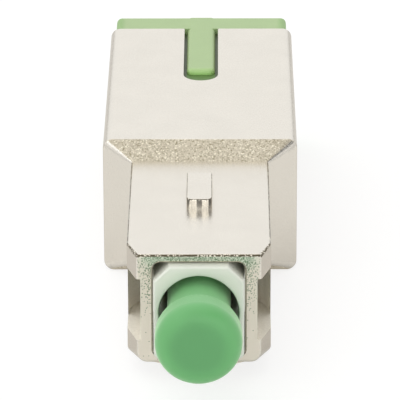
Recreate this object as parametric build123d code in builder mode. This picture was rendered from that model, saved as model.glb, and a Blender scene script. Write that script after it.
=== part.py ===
"""Fibre optic attenuator, SC/APC plug to SC/APC port, with its dust cap on.

The optical axis is the Y axis. The origin is on that axis, in the plane of the
metal plug's front edge. The plug's nose points to -Y, the port opens to +Y, and
the key is on top, towards +Z. All sizes are in millimetres.
"""
import os
from math import cos, radians, sin, tan

from build123d import *

os.makedirs("parts", exist_ok=True)

# The connector interface: the plug, and the key on top of it
plug_width = 8.99
plug_height = 7.39
key_width = 1.62
key_height = 0.69
key_setback = 7.4
key_length = 4.68
key_corner = 0.16
key_front_corner = 0.4
key_edge = 0.08

# Clearances
fit_gap = 0.05
slide_gap = 0.05
port_gap = 0.055
key_gap = 0.04
ferrule_gap = 0.02
stop_gap = 0.05

# Travels of the moving pieces
release_travel = 1.2
ferrule_travel = 1.0

# Die-cast metal shell
plug_length = 15.68
shoulder_length = 1.6
box_length = 21.8
box_wall = 0.4
box_corner = 0.65
box_front_wall = 0.62
rim_round = 0.12
plug_upper_corner = 0.16
plug_lower_corner = 0.4
nose_upper_corner = 0.3
nose_lower_corner = 0.75
lead_in_side = 0.62
lead_in_under = 0.1
lead_in_length = 1.9
nose_edge = 0.2
shoulder_edge = 0.1
mouth_edge = 0.1
sleeve_wall = 0.525
sleeve_side_wall = 0.795
mouth_corner = 0.5
pad_margin = 0.125
pad_drop = 0.1
pad_slope = 0.7
pad_setback = 0.04
pad_run_in = 0.5

# Channels in the plug's sides, which take an adapter's hooks
channel_height = 4.12
channel_length = 6.2
channel_ramp = 2.2
channel_web = 0.76
step_setback = 1.8
window_front = 1.3
window_height = 3.0

# Slot in the box's top, and the rib that stands in it
slot_length = 10.72
slot_gap = 0.205
slot_mouth_round = 0.3
rib_end_gap = 2.25
rib_wall = 0.13
rib_corner = 0.5
rib_top_round = 0.3

# Green insert that forms the port
ledge = 0.6
insert_side_wall = 0.8
insert_top_wall = 0.465
insert_corner = 0.22
key_roof = 0.18
keyway_length = 6.1
collar_reach = 2.33
collar_inset = 0.35
collar_corner = 0.4
port_corner = 0.3
port_lead_in = 0.2
port_depth = 13.35
pocket_depth = 0.75
pocket_height = 4.4

# Ferrule, fibre and split sleeve
ferrule_diameter = 2.5
ferrule_end_chamfer = 0.45
ferrule_end_angle = 8.0
ferrule_reach = 0.5
fibre_diameter = 0.125
split_sleeve_length = 11.4
split_sleeve_wall = 0.33
split_sleeve_slot = 0.5
sleeve_rear_share = 5.7

# White plug frame
frame_reach = 0.62
frame_side_wall = 0.295
frame_bevel = 1.0
frame_lower_corner = 0.45
frame_edge = 0.1
frame_hole_depth = 7.2
frame_web = 1.1
frame_web_gap = 0.2
frame_hole_edge = 0.06
catch_setback = 2.6
catch_length = 1.3
catch_reach = 0.63
catch_height = 2.6
catch_flat = 0.4

# Ferrule flange and its keys
flange_gap = 0.075
flange_length = 2.3
flange_neck_length = 2.0
flange_neck_wall = 0.3
flange_key_width = 0.9
flange_key_depth = 0.45
flange_key_length = 2.0
flange_slot_gap = 0.08

# Coil spring behind the flange
spring_wire = 0.5
spring_diameter = 4.0
spring_seat_depth = 2.6
spring_turns = 4

# Sleeve holder and hooks
plate_thickness = 1.0
sleeve_front_wall = 0.2
barrel_wall = 0.65
barrel_lip = 0.95
barrel_end_gap = 0.15
barrel_lip_gap = 0.1
barrel_reach = 6.4
barrel_edge = 0.2
barrel_hole_gap = 0.225
holder_corner = 0.3
hook_height = 3.9
hook_length = 5.7
hook_thickness = 0.65
hook_setback = 0.25
barb_length = 1.2
barb_reach = 0.6
barb_flat = 0.35

# Dust cap on the ferrule
cap_wall = 0.71
cap_mouth_gap = 0.4
cap_tip_gap = 0.6
cap_stem_shown = 3.15
cap_head_diameter = 5.36
cap_head_length = 2.15
cap_head_round = 1.0
cap_rim_round = 0.08
cap_mouth_chamfer = 0.2

# Stations along the optical axis
box_front = plug_length + shoulder_length
box_rear = box_front + box_length
box_inside = box_front + box_front_wall
port_face = box_rear + collar_reach
step_front = channel_length + step_setback
frame_front = -frame_reach
frame_wide_front = step_front + release_travel + stop_gap
holder_front = box_inside + release_travel + 2 * stop_gap
plate_rear = port_face - port_depth
plate_front = plate_rear - plate_thickness
insert_front = box_inside + fit_gap
ferrule_front = frame_front - ferrule_reach
web_front = frame_front + frame_hole_depth
web_rear = web_front + frame_web
spring_front = web_rear + flange_length
spring_rear = holder_front - spring_seat_depth
spring_length = spring_rear - spring_front
sleeve_rear = plate_rear + barrel_reach - barrel_lip - barrel_end_gap
sleeve_front = sleeve_rear - split_sleeve_length
ferrule_rear = sleeve_rear - sleeve_rear_share

# Widths and heights that follow from the values above
plug_top = plug_height / 2
key_top = plug_top + key_height
port_width = plug_width + 2 * port_gap
port_height = plug_height + 2 * port_gap
carriage_width = port_width + 2 * ledge
insert_width = carriage_width + 2 * insert_side_wall
insert_height = port_height + 2 * insert_top_wall
cavity_width = insert_width + 2 * fit_gap
cavity_height = insert_height + 2 * fit_gap
box_width = cavity_width + 2 * box_wall
box_height = cavity_height + 2 * box_wall
holder_width = carriage_width - 2 * slide_gap
holder_height = port_height - 2 * slide_gap
keyway_width = key_width + 2 * key_gap
keyway_top = key_top + port_gap
collar_top = keyway_top + key_roof
collar_low = -box_height / 2 + collar_inset
collar_width = box_width - 2 * collar_inset
rib_width = keyway_width + 2 * rib_wall
slot_width = rib_width + 2 * slot_gap
pad_width = plug_width - 2 * (lead_in_side + nose_lower_corner + pad_margin)
mouth_height = plug_height - 2 * sleeve_wall
rear_mouth_width = plug_width - 2 * sleeve_side_wall
frame_height = mouth_height - 2 * slide_gap
frame_wide_width = rear_mouth_width - 2 * slide_gap
ferrule_radius = ferrule_diameter / 2
split_sleeve_bore = ferrule_radius + ferrule_gap
split_sleeve_radius = split_sleeve_bore + split_sleeve_wall
sleeve_bore_radius = split_sleeve_radius + fit_gap
barrel_radius = sleeve_bore_radius + barrel_wall
frame_hole_radius = barrel_radius + barrel_hole_gap
frame_width = 2 * (frame_hole_radius + frame_side_wall)
mouth_width = frame_width + 2 * slide_gap
channel_wall = mouth_width / 2 + channel_web
channel_depth = plug_width / 2 - channel_wall
web_hole_radius = ferrule_radius + frame_web_gap
flange_radius = frame_hole_radius - flange_gap
cap_bore_radius = ferrule_radius + ferrule_gap
cap_stem_radius = cap_bore_radius + cap_wall

# How near an edge or face lies to the place it is picked by
edge_tolerance = 0.01


def station(y):
    """The cross-section plane at y, facing the port end."""
    return Plane(origin=(0, y, 0), x_dir=(-1, 0, 0), z_dir=(0, 1, 0))


def outline(width, low, high, upper_corner, lower_corner):
    """A cross-section with one corner radius above and another below."""
    with BuildSketch() as section:
        with Locations((0, (low + high) / 2)):
            Rectangle(width, high - low)
        fillet(section.vertices().group_by(Axis.Y)[-1], upper_corner)
        fillet(section.vertices().group_by(Axis.Y)[0], lower_corner)
    return section.sketch


def plug_outline():
    return outline(plug_width, -plug_top, plug_top, plug_upper_corner, plug_lower_corner)


def box_outline():
    return outline(box_width, -box_height / 2, box_height / 2, box_corner, box_corner)


# Metal shell: box, hipped shoulder and plug in one casting
with BuildPart() as metal_shell:
    with BuildSketch(station(box_front)):
        add(box_outline())
    extrude(amount=box_length)
    chamfer(metal_shell.faces().sort_by(Axis.Y)[-1].edges(), rim_round)

    # The shoulder slopes in from the box to the plug on all four sides
    with BuildSketch(station(plug_length)):
        add(plug_outline())
    with BuildSketch(station(box_front)):
        add(box_outline())
    loft(ruled=True)

    # The plug, with a lead-in along the sides of its nose
    with BuildSketch(station(lead_in_length)):
        add(plug_outline())
    extrude(amount=plug_length - lead_in_length)
    with BuildSketch(station(0)):
        nose_width = plug_width - 2 * lead_in_side
        add(outline(nose_width, lead_in_under - plug_top, plug_top, nose_upper_corner, nose_lower_corner))
    with BuildSketch(station(lead_in_length)):
        add(plug_outline())
    loft(ruled=True)

    # Edges that the casting rounds off: where the shoulder starts, and round the nose
    long_edges = metal_shell.edges().filter_by(lambda edge: edge.length > plug_height / 2)
    fillet(long_edges.filter_by(lambda edge: abs(edge.center().Y - box_front) < edge_tolerance), shoulder_edge)
    fillet(metal_shell.faces().sort_by(Axis.Y)[0].edges(), nose_edge)

    # A shallow pad with sloping sides stands out under the plug
    pad_start = nose_edge + pad_setback
    with BuildSketch(station(pad_start)):
        with BuildLine():
            Polyline(
                (-pad_width / 2, lead_in_under - plug_top),
                (-pad_width / 2 + pad_slope, -plug_top - pad_drop),
                (pad_width / 2 - pad_slope, -plug_top - pad_drop),
                (pad_width / 2, lead_in_under - plug_top),
                close=True,
            )
        make_face()
    extrude(amount=plug_length + pad_run_in - pad_start)

    # The key on top of the plug
    with BuildSketch(Plane.XY.offset(plug_top - sleeve_wall / 2)) as key_outline:
        with Locations((0, key_setback + key_length / 2)):
            Rectangle(key_width, key_length)
        fillet(key_outline.vertices().group_by(Axis.Y)[-1], key_corner)
        fillet(key_outline.vertices().group_by(Axis.Y)[0], key_front_corner)
    extrude(amount=key_height + sleeve_wall / 2)
    key_face = metal_shell.faces().filter_by(lambda face: abs(face.center().Z - key_top) < edge_tolerance)
    fillet(key_face.edges(), key_edge)

    # Inside: the mouth, the wider bore behind the step, and the box
    with BuildSketch(station(0)):
        add(outline(mouth_width, -mouth_height / 2, mouth_height / 2, mouth_corner, mouth_corner))
    extrude(amount=box_inside, mode=Mode.SUBTRACT)
    chamfer(metal_shell.faces().sort_by(Axis.Y)[0].inner_wires()[0].edges(), mouth_edge)
    with BuildSketch(station(step_front)):
        add(outline(rear_mouth_width, -mouth_height / 2, mouth_height / 2, mouth_corner, mouth_corner))
    extrude(amount=box_inside - step_front, mode=Mode.SUBTRACT)
    with BuildSketch(station(box_inside)):
        inner_corner = box_corner - box_wall
        add(outline(cavity_width, -cavity_height / 2, cavity_height / 2, inner_corner, inner_corner))
    extrude(amount=box_rear - box_inside, mode=Mode.SUBTRACT)

    # Hook channels with a curved ramp at their end, and the windows to the frame's catches
    for side in (1, -1):
        with BuildSketch(Plane.XY.offset(-channel_height / 2)):
            with BuildLine():
                ramp_front = channel_length - channel_ramp
                outside = plug_width / 2 + channel_depth
                Polyline(
                    (side * plug_width / 2, ramp_front),
                    (side * outside, ramp_front),
                    (side * outside, -nose_edge),
                    (side * channel_wall, -nose_edge),
                    (side * channel_wall, channel_length),
                )
                TangentArc(
                    (side * plug_width / 2, ramp_front),
                    (side * channel_wall, channel_length),
                    tangent=(0, 1),
                )
            make_face()
        extrude(amount=channel_height, mode=Mode.SUBTRACT)
        with BuildSketch(Plane.XY.offset(-window_height / 2)):
            with Locations((side * channel_wall / 2, (window_front + step_front) / 2)):
                Rectangle(channel_wall, step_front - window_front)
        extrude(amount=window_height, mode=Mode.SUBTRACT)

    # The slot in the box's top, round at its closed end and eased at its mouth
    with BuildSketch(Plane.XY.offset(cavity_height / 2 - fit_gap)):
        slot_centre = box_rear - slot_length + slot_width / 2
        with Locations((0, slot_centre)):
            Circle(slot_width / 2)
        with Locations((0, (slot_centre + box_rear) / 2)):
            Rectangle(slot_width, box_rear - slot_centre)
    extrude(amount=box_wall + 2 * fit_gap, mode=Mode.SUBTRACT)
    mouth_edges = metal_shell.edges().filter_by(Axis.Z).group_by(Axis.Y)[-1]
    mouth_edges = mouth_edges.filter_by(lambda edge: edge.length < box_wall * 1.2)
    mouth_edges = mouth_edges.filter_by(lambda edge: abs(edge.center().X) < slot_width)
    fillet(mouth_edges, slot_mouth_round)
metal_shell.part.label = "metal_shell"
export_step(metal_shell.part, "parts/metal_shell.step")


def slot_rib():
    """The rib in the shell's slot, with its free end rounded over."""
    rib_front = box_rear - slot_length + rib_end_gap
    with BuildPart() as rib:
        with BuildSketch(Plane.XY.offset(port_height / 2 + insert_top_wall / 2)) as plan:
            with Locations((0, (rib_front + port_face) / 2)):
                Rectangle(rib_width, port_face - rib_front)
            fillet(plan.vertices().group_by(Axis.Y)[0], rib_corner)
        extrude(amount=collar_top - port_height / 2 - insert_top_wall / 2)
        end_edges = rib.faces().sort_by(Axis.Z)[-1].edges().sort_by(Axis.Y)[:3]
        fillet(end_edges, rib_top_round)
    return rib.part


# Green insert: lines the box, forms the port and shows as a collar behind the box
with BuildPart() as port_insert:
    with BuildSketch(station(insert_front)):
        half = insert_height / 2
        add(outline(insert_width, -half, half, insert_corner, insert_corner))
    extrude(amount=box_rear - insert_front)
    with BuildSketch(station(box_rear)):
        add(outline(collar_width, collar_low, collar_top, collar_corner, collar_corner))
    extrude(amount=collar_reach)
    chamfer(port_insert.faces().sort_by(Axis.Y)[-1].edges(), rim_round)
    add(slot_rib())

    # The carriage bore ends at two ledges, and the port goes on to the face
    with BuildSketch(station(insert_front)):
        half = port_height / 2
        add(outline(carriage_width, -half, half, port_corner, port_corner))
    extrude(amount=plate_rear + stop_gap - insert_front, mode=Mode.SUBTRACT)
    with BuildSketch(station(plate_front)):
        add(outline(port_width, -half, half, port_corner, port_corner))
    extrude(amount=port_face - plate_front, mode=Mode.SUBTRACT)
    port_rim = port_insert.faces().sort_by(Axis.Y)[-1].inner_wires()[0].edges()
    chamfer(port_rim, port_lead_in)

    # The keyway under the collar and rib
    with BuildSketch(Plane.XY):
        with Locations((0, port_face - keyway_length / 2)):
            Rectangle(keyway_width, keyway_length)
    extrude(amount=keyway_top, mode=Mode.SUBTRACT)

    # Room beside the hooks, so that they can spread
    for side in (1, -1):
        with BuildSketch(Plane.XY.offset(-pocket_height / 2)):
            pocket_length = hook_length + barb_length
            middle = side * (port_width + pocket_depth) / 2
            with Locations((middle, plate_rear + pocket_length / 2)):
                Rectangle(pocket_depth, pocket_length)
        extrude(amount=pocket_height, mode=Mode.SUBTRACT)
port_insert.part.label = "port_insert"
export_step(port_insert.part, "parts/port_insert.step")


def frame_outline(width):
    """The plug frame's section: bevelled above, rounded below."""
    with BuildSketch() as section:
        Rectangle(width, frame_height)
        chamfer(section.vertices().group_by(Axis.Y)[-1], frame_bevel)
        fillet(section.vertices().group_by(Axis.Y)[0], frame_lower_corner)
    return section.sketch


# White plug frame: carries the ferrule and has the catches for an adapter's hooks
with BuildPart() as plug_frame:
    with BuildSketch(station(frame_front)):
        add(frame_outline(frame_width))
    extrude(amount=frame_wide_front - frame_front)
    chamfer(plug_frame.faces().sort_by(Axis.Y)[0].edges(), frame_edge)
    with BuildSketch(station(frame_wide_front)):
        add(frame_outline(frame_wide_width))
    extrude(amount=holder_front - frame_wide_front)
    for side in (1, -1):
        with BuildSketch(Plane.XY.offset(-catch_height / 2)):
            with BuildLine():
                flank = frame_width / 2
                catch_rear = catch_setback + catch_length
                Polyline(
                    (side * (flank - catch_reach), catch_setback),
                    (side * flank, catch_setback),
                    (side * (flank + catch_reach), catch_rear - catch_flat),
                    (side * (flank + catch_reach), catch_rear),
                    (side * (flank - catch_reach), catch_rear),
                    close=True,
                )
            make_face()
        extrude(amount=catch_height)

    # Bores before and behind the web that the ferrule's flange rests on
    with BuildSketch(station(frame_front)):
        Circle(frame_hole_radius)
    extrude(amount=frame_hole_depth, mode=Mode.SUBTRACT)
    front_rim = plug_frame.faces().sort_by(Axis.Y)[0].inner_wires()[0].edges()
    chamfer(front_rim, frame_hole_edge)
    with BuildSketch(station(web_front)):
        Circle(web_hole_radius)
    extrude(amount=frame_web, mode=Mode.SUBTRACT)
    with BuildSketch(station(web_rear)):
        Circle(frame_hole_radius)
    extrude(amount=holder_front - web_rear, mode=Mode.SUBTRACT)

    # Two keys in the rear bore stop the flange from turning
    with BuildSketch(station(web_rear - frame_web / 2)):
        for side in (1, -1):
            with Locations((0, side * frame_hole_radius)):
                Rectangle(flange_key_width, 2 * flange_key_depth)
    extrude(amount=flange_key_length + frame_web / 2)
plug_frame.part.label = "plug_frame"
export_step(plug_frame.part, "parts/plug_frame.step")


# Sleeve holder: closes the frame, seats the spring and holds half of the split sleeve
with BuildPart() as sleeve_holder:
    with BuildSketch(station(spring_rear)):
        Circle(frame_hole_radius - fit_gap)
    extrude(amount=holder_front - spring_rear)
    with BuildSketch(station(holder_front)):
        half = holder_height / 2
        add(outline(holder_width, -half, half, holder_corner, holder_corner))
    extrude(amount=plate_front - holder_front)
    with BuildSketch(station(spring_rear)):
        Circle(web_hole_radius)
    extrude(amount=plate_front - spring_rear, mode=Mode.SUBTRACT)
    with BuildSketch(station(sleeve_front - sleeve_front_wall)):
        Circle(sleeve_bore_radius)
    extrude(amount=plate_front - sleeve_front + sleeve_front_wall, mode=Mode.SUBTRACT)
sleeve_holder.part.label = "sleeve_holder"
export_step(sleeve_holder.part, "parts/sleeve_holder.step")


# Latch hooks: plate, sleeve barrel and two hooks in one moulding
with BuildPart() as latch_hooks:
    with BuildSketch(station(plate_front)):
        half = holder_height / 2
        add(outline(holder_width, -half, half, holder_corner, holder_corner))
    extrude(amount=plate_thickness)
    with BuildSketch(station(plate_rear)):
        Circle(barrel_radius)
    extrude(amount=barrel_reach)
    chamfer(latch_hooks.faces().sort_by(Axis.Y)[-1].edges(), barrel_edge)
    with BuildSketch(station(plate_front)):
        Circle(sleeve_bore_radius)
    extrude(amount=plate_thickness + barrel_reach - barrel_lip, mode=Mode.SUBTRACT)
    with BuildSketch(station(plate_front)):
        Circle(ferrule_radius + barrel_lip_gap)
    extrude(amount=plate_thickness + barrel_reach, mode=Mode.SUBTRACT)
    for side in (1, -1):
        with BuildSketch(Plane.XY.offset(-hook_height / 2)):
            with BuildLine():
                outer = port_width / 2 - hook_setback
                inner = outer - hook_thickness
                tip = plate_rear + hook_length
                Polyline(
                    (side * outer, plate_rear - plate_thickness / 2),
                    (side * outer, tip),
                    (side * inner, tip),
                    (side * (inner - barb_reach), tip - barb_length + barb_flat),
                    (side * (inner - barb_reach), tip - barb_length),
                    (side * inner, tip - barb_length),
                    (side * inner, plate_rear - plate_thickness / 2),
                    close=True,
                )
            make_face()
        extrude(amount=hook_height)
latch_hooks.part.label = "latch_hooks"
export_step(latch_hooks.part, "parts/latch_hooks.step")


# Split sleeve: a slotted zirconia tube that lines up the two ferrules
with BuildPart() as split_sleeve:
    with BuildSketch(station(sleeve_front)):
        Circle(split_sleeve_radius)
        Circle(split_sleeve_bore, mode=Mode.SUBTRACT)
        with Locations((0, split_sleeve_radius)):
            Rectangle(split_sleeve_slot, 2 * split_sleeve_wall + split_sleeve_bore, mode=Mode.SUBTRACT)
    extrude(amount=split_sleeve_length)
split_sleeve.part.label = "split_sleeve"
export_step(split_sleeve.part, "parts/split_sleeve.step")


def polished(y, towards):
    """The plane of an angle-polished end at y, with its normal out of the ferrule."""
    tilt = radians(ferrule_end_angle)
    return Plane(origin=(0, y, 0), x_dir=(1, 0, 0), z_dir=(0, towards * cos(tilt), sin(tilt)))


# Ferrule: one zirconia rod, angle-polished at both ends
end_allowance = ferrule_radius * tan(radians(ferrule_end_angle))
with BuildPart() as ferrule:
    with BuildSketch(station(ferrule_front - end_allowance)):
        Circle(ferrule_radius)
    extrude(amount=ferrule_rear - ferrule_front + 2 * end_allowance)
    chamfer(ferrule.edges().filter_by(GeomType.CIRCLE), ferrule_end_chamfer)
    with BuildSketch(station(ferrule_front - end_allowance)):
        Circle(fibre_diameter / 2)
    extrude(amount=ferrule_rear - ferrule_front + 2 * end_allowance, mode=Mode.SUBTRACT)
    split(bisect_by=polished(ferrule_front, -1), keep=Keep.BOTTOM)
    split(bisect_by=polished(ferrule_rear, 1), keep=Keep.BOTTOM)
ferrule.part.label = "ferrule"
export_step(ferrule.part, "parts/ferrule.step")


# Attenuating fibre bonded in the ferrule's bore
with BuildPart() as attenuating_fibre:
    with BuildSketch(station(ferrule_front - end_allowance)):
        Circle(fibre_diameter / 2)
    extrude(amount=ferrule_rear - ferrule_front + 2 * end_allowance)
    split(bisect_by=polished(ferrule_front, -1), keep=Keep.BOTTOM)
    split(bisect_by=polished(ferrule_rear, 1), keep=Keep.BOTTOM)
attenuating_fibre.part.label = "attenuating_fibre"
export_step(attenuating_fibre.part, "parts/attenuating_fibre.step")


# Ferrule flange: a turned metal ring with a neck, slotted for the frame's keys
with BuildPart() as ferrule_flange:
    with BuildSketch(station(web_rear)):
        Circle(flange_radius)
        for side in (1, -1):
            with Locations((0, side * frame_hole_radius)):
                slot_size = flange_key_width + 2 * flange_slot_gap
                Rectangle(slot_size, 2 * (flange_key_depth + flange_slot_gap), mode=Mode.SUBTRACT)
    extrude(amount=flange_length)
    with BuildSketch(station(spring_front)):
        Circle(ferrule_radius + flange_neck_wall)
    extrude(amount=flange_neck_length)
    with BuildSketch(station(web_rear)):
        Circle(ferrule_radius)
    extrude(amount=flange_length + flange_neck_length, mode=Mode.SUBTRACT)
ferrule_flange.part.label = "ferrule_flange"
export_step(ferrule_flange.part, "parts/ferrule_flange.step")


# Coil spring, wound open, whose ends touch the flange and the sleeve holder
with BuildPart() as ferrule_spring:
    coil_height = spring_length - spring_wire
    with BuildLine() as coil:
        Helix(
            pitch=coil_height / spring_turns,
            height=coil_height,
            radius=spring_diameter / 2,
            center=(0, spring_front + spring_wire / 2, 0),
            direction=(0, 1, 0),
        )
    with BuildSketch(Plane(origin=coil.line @ 0, z_dir=coil.line % 0)):
        Circle(spring_wire / 2)
    sweep(path=coil.line, is_frenet=True)
ferrule_spring.part.label = "ferrule_spring"
export_step(ferrule_spring.part, "parts/ferrule_spring.step")


# Dust cap: a soft plastic tube with a domed head
with BuildPart() as dust_cap:
    with BuildSketch(Plane.XY) as profile:
        cap_mouth = web_front - ferrule_travel - cap_mouth_gap
        head_rear = frame_front - cap_stem_shown
        head_front = head_rear - cap_head_length
        with Locations((cap_stem_radius / 2, (cap_mouth + head_front) / 2)):
            Rectangle(cap_stem_radius, cap_mouth - head_front)
        chamfer(profile.vertices().group_by(Axis.Y)[-1].sort_by(Axis.X)[-1], cap_mouth_chamfer)
        with Locations((cap_head_diameter / 4, (head_rear + head_front) / 2)):
            Rectangle(cap_head_diameter / 2, cap_head_length)
        head_corners = profile.vertices().group_by(Axis.X)[-1]
        fillet(head_corners.sort_by(Axis.Y)[0], cap_head_round)
        fillet(profile.vertices().group_by(Axis.X)[-1].sort_by(Axis.Y)[-1], cap_rim_round)
        bore_end = ferrule_front - cap_tip_gap
        with Locations((cap_bore_radius / 2, (cap_mouth + bore_end) / 2)):
            Rectangle(cap_bore_radius, cap_mouth - bore_end, mode=Mode.SUBTRACT)
    revolve(axis=Axis.Y)
dust_cap.part.label = "dust_cap"
export_step(dust_cap.part, "parts/dust_cap.step")
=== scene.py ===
"""Fibre optic attenuator with its dust cap on, dressed around the packed frame.

The optical axis is the Y axis, the plug's nose points to -Y and the key is on top. Lengths are in
metres. Only length_property takes millimetres.
"""

import math

import bpy
from bpy.props import FloatProperty, FloatVectorProperty, IntProperty, PointerProperty
from mathutils import Matrix, Vector


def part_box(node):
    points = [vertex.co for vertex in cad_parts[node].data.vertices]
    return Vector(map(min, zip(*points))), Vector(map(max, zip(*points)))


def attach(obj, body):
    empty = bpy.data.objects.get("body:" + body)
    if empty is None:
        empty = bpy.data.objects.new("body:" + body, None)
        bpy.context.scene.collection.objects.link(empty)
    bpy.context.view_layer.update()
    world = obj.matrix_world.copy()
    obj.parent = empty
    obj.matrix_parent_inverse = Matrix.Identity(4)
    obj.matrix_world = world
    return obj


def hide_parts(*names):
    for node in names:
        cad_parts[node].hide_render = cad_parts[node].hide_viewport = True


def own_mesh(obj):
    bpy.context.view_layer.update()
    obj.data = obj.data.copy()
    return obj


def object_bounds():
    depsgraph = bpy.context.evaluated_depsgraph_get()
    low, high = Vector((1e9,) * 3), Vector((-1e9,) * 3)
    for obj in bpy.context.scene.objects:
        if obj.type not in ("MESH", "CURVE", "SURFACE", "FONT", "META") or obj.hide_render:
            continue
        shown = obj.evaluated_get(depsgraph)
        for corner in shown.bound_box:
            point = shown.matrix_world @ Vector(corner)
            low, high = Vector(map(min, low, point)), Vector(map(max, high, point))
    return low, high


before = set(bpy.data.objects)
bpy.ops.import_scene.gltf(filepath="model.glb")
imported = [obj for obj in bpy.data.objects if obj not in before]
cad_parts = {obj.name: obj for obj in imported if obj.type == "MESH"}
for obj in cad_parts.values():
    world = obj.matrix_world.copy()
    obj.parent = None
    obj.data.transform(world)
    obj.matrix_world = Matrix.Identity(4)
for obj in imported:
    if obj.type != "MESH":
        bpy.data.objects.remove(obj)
CAD_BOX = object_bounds()

bl_info = {
    "name": "Fibre Optic Attenuator",
    "version": (1, 0, 0),
    "blender": (4, 5, 0),
    "location": "3D View > Sidebar > Attenuator",
    "description": "Finishes of a metal fibre optic attenuator, its spring, dust cap and photo stage",
    "category": "Object",
}

MM = 0.001

# The part of its range that Blender's noise mostly takes
NOISE_LOW = 0.3
NOISE_HIGH = 0.7

# The light tent's opening, as a direction, and the point that the lamps aim at
TENT_OPENING = (0.62, -0.43, 0.65)
LIT_MIDDLE = (0, 0.018, 0)

# The camera, fitted to the photo: millimetres and degrees
CAMERA_LENS = 342.21
CAMERA_SENSOR = 36
CAMERA_ELEVATION = 22.1224
CAMERA_YAW = -0.3333
CAMERA_ROLL = -0.194
CAMERA_PLACE = (1.34748, -216.02246, 95.17051)


def linear(code):
    """An sRGB hex code as linear red, green and blue."""
    channels = [int(code[i:i + 2], 16) / 255 for i in (0, 2, 4)]
    return [c / 12.92 if c <= 0.04045 else ((c + 0.055) / 1.055) ** 2.4 for c in channels]


def colour_property(name, description, code):
    return FloatVectorProperty(
        name=name, description=description, subtype="COLOR", size=3, min=0, max=1, default=linear(code)
    )


def length_property(name, description, millimetres):
    return FloatProperty(
        name=name, description=description, unit="LENGTH", subtype="DISTANCE", precision=5,
        min=0, default=millimetres * MM,
    )


def factor_property(name, description, value):
    return FloatProperty(name=name, description=description, subtype="FACTOR", min=0, max=1, default=value)


def power_property(name, description, watts):
    return FloatProperty(name=name, description=description, unit="POWER", min=0, default=watts)


class ATTENUATOR_PG_shell(bpy.types.PropertyGroup):
    """Nickel-plated die-cast shell."""

    nickel: colour_property("Nickel", "Satin nickel plating on the smooth faces", "EAE5DB")
    # Painted shade on the faces that look sideways
    side_shade: colour_property("Flanks", "Duller plating on the faces that look sideways", "BEB5A6")
    blasted: colour_property("Blasted front", "Plating over the fine grain of the front face", "EAE2D7")
    # Painted reflection of the green cap on the front face over the mouth
    mouth_reflection: colour_property("Over the mouth", "Tone of the front face over the mouth", "D6DDCD")
    speck: colour_property("Front specks", "Dark facets of the front face's fine grain", "98AE99")
    # Painted shade on the plug's rounded upper edges
    edge: colour_property("Edge lines", "Plating on the plug's rounded upper edges", "6F6655")
    # Painted light: the pale plating lightens the hook channels' walls
    hollow: colour_property("Hook channels", "Plating over the rough walls of the hook channels", "FAF5EA")
    grain_mid: colour_property("Grain", "Plating over the as-cast faces", "D6CEBD")
    # The grain's own tone, with painted glints and painted shade on its facets
    grain_glint: colour_property("Grain glints", "Facets of the cast grain that catch the light", "FAF5E6")
    grain_shade: colour_property("Grain pits", "Facets of the cast grain that face away", "A39A80")
    grain_size: length_property("Grain size", "Width of one facet of the as-cast grain", 0.07)
    front_size: length_property("Front grain size", "Width of one facet of the front face's grain", 0.05)
    satin_size: length_property("Satin size", "Width of the fine unevenness under the plating", 0.05)
    cloud_size: length_property("Cloud size", "Width of the faint clouds in the plating", 2.5)
    roughness: factor_property("Roughness", "Roughness of the satin plating", 0.25)
    cast_roughness: factor_property("Cast roughness", "Roughness of the grained faces", 0.6)
    plug_top: length_property("Plug top", "Height of the plug's top over the axis", 3.7)
    plug_half: length_property("Plug half width", "Half the width of the plug", 4.495)
    plug_length: length_property("Plug length", "How far the plug reaches back to the shoulder", 15.6)
    channel_wall: length_property("Channel wall", "Distance of their inner walls from the axis", 3.6)
    channel_half: length_property("Channel half height", "Half the height of the hook channels", 2.065)
    channel_end: length_property("Channel end", "How far the hook channels reach back", 6.3)
    # Painted reflection: two bright streaks drawn on the key's front end
    streak_place: length_property("Streak place", "How far the key's streaks are from its middle", 0.38)
    streak_half: length_property("Streak half width", "Half the width of a bright streak on the key", 0.22)
    streak_rag: length_property("Streak raggedness", "How far the streaks' edges wander", 0.3)


class ATTENUATOR_PG_plastics(bpy.types.PropertyGroup):
    """Moulded plastic pieces."""

    insert: colour_property("Port insert", "Green of the moulded port insert", "AEC991")
    cap: colour_property("Dust cap", "Green of the soft dust cap", "70BB75")
    # Painted shade at the middle of the cap's end, and where it gives way to the lighter rim
    cap_middle_shade: colour_property("Cap's middle", "Deepens the green at the middle of its end", "E3E8E9")
    middle_radius: length_property("Middle radius", "Radius of the deeper middle of the cap's end", 1.2)
    rim_radius: length_property("Rim radius", "Where the cap's lighter rim starts", 2.3)
    white: colour_property("White pieces", "White of the frame, holder and hooks", "F3F6E9")
    # Painted shade at the collar's corners
    corner: colour_property("Collar corners", "Deepens the green at the collar's corners", "E0F2D8")
    corner_start: length_property("Corner start", "Where it starts, from the middle", 5.3)
    corner_full: length_property("Corner full", "Where it is full, from the middle", 5.75)
    slot_end: colour_property("Slot end", "Shade on the slot's floor before the rib", "93AB82")
    slot_gap: colour_property("Slot gaps", "Shade on the slot's floor beside the rib", "777B73")
    # Painted light on the rib's tip
    rib_tip_light: colour_property("Rib tip", "Lighter, purer green where the rib ends in the slot", "C3F499")
    rib_front: length_property("Rib front", "Where the rib starts along the optical axis", 30.61)
    slot_floor: length_property("Slot floor", "Height of the slot's floor over the optical axis", 4.215)
    rib_half: length_property("Half rib", "Half the width of the rib in the slot", 0.985)
    collar_front: length_property("Collar front", "Where the collar starts along the optical axis", 39.05)
    mould_grain: length_property("Mould grain", "Width of the fine grain that the mould leaves", 0.12)
    flow_size: length_property("Flow marks", "Width of the faint clouds in the plastic", 2.2)


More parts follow.
